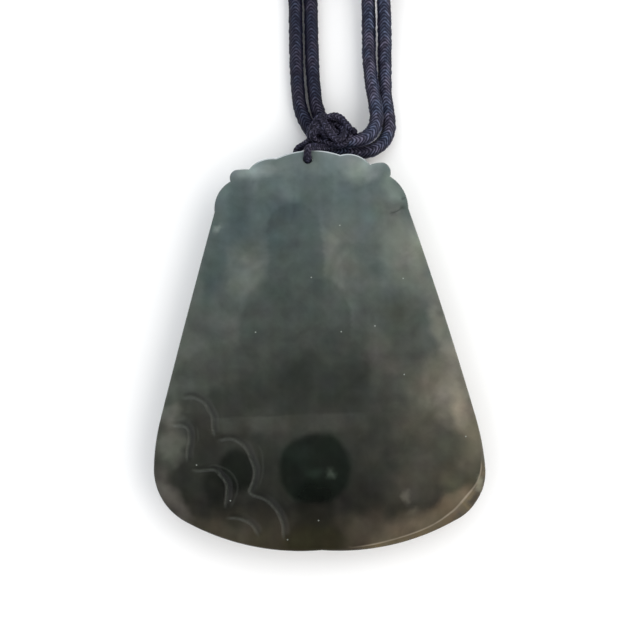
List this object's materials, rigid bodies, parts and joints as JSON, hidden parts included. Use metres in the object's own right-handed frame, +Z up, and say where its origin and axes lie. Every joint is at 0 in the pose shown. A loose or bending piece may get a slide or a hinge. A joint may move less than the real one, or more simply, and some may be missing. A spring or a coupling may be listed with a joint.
{
  "type": "jade guanyin pendant",
  "caption": "Flat carved jade pendant plaque with a scalloped top, a drilled hole, a knotted hanger and a braided neck cord.",
  "frame": {"origin": "on the table, under the middle of the jade plaque's box", "axes": "+Z up out of the polished back, +Y along the plaque towards the drilled top edge, +X to the right as seen from above"},
  "size_m": [0.0553, 0.1402, 0.008],
  "materials": {
    "jade": "polished",
    "thin_cord": "matte",
    "neck_cord": "matte"
  },
  "bodies": {
    "root": {"jade_plaque": "jade", "hanger_cord": "thin_cord", "neck_cord_outer_left": "neck_cord", "neck_cord_outer_right": "neck_cord", "neck_cord_inner_left": "neck_cord", "neck_cord_inner_right": "neck_cord", "neck_cord_coil": "neck_cord"}
  },
  "joints": []
}
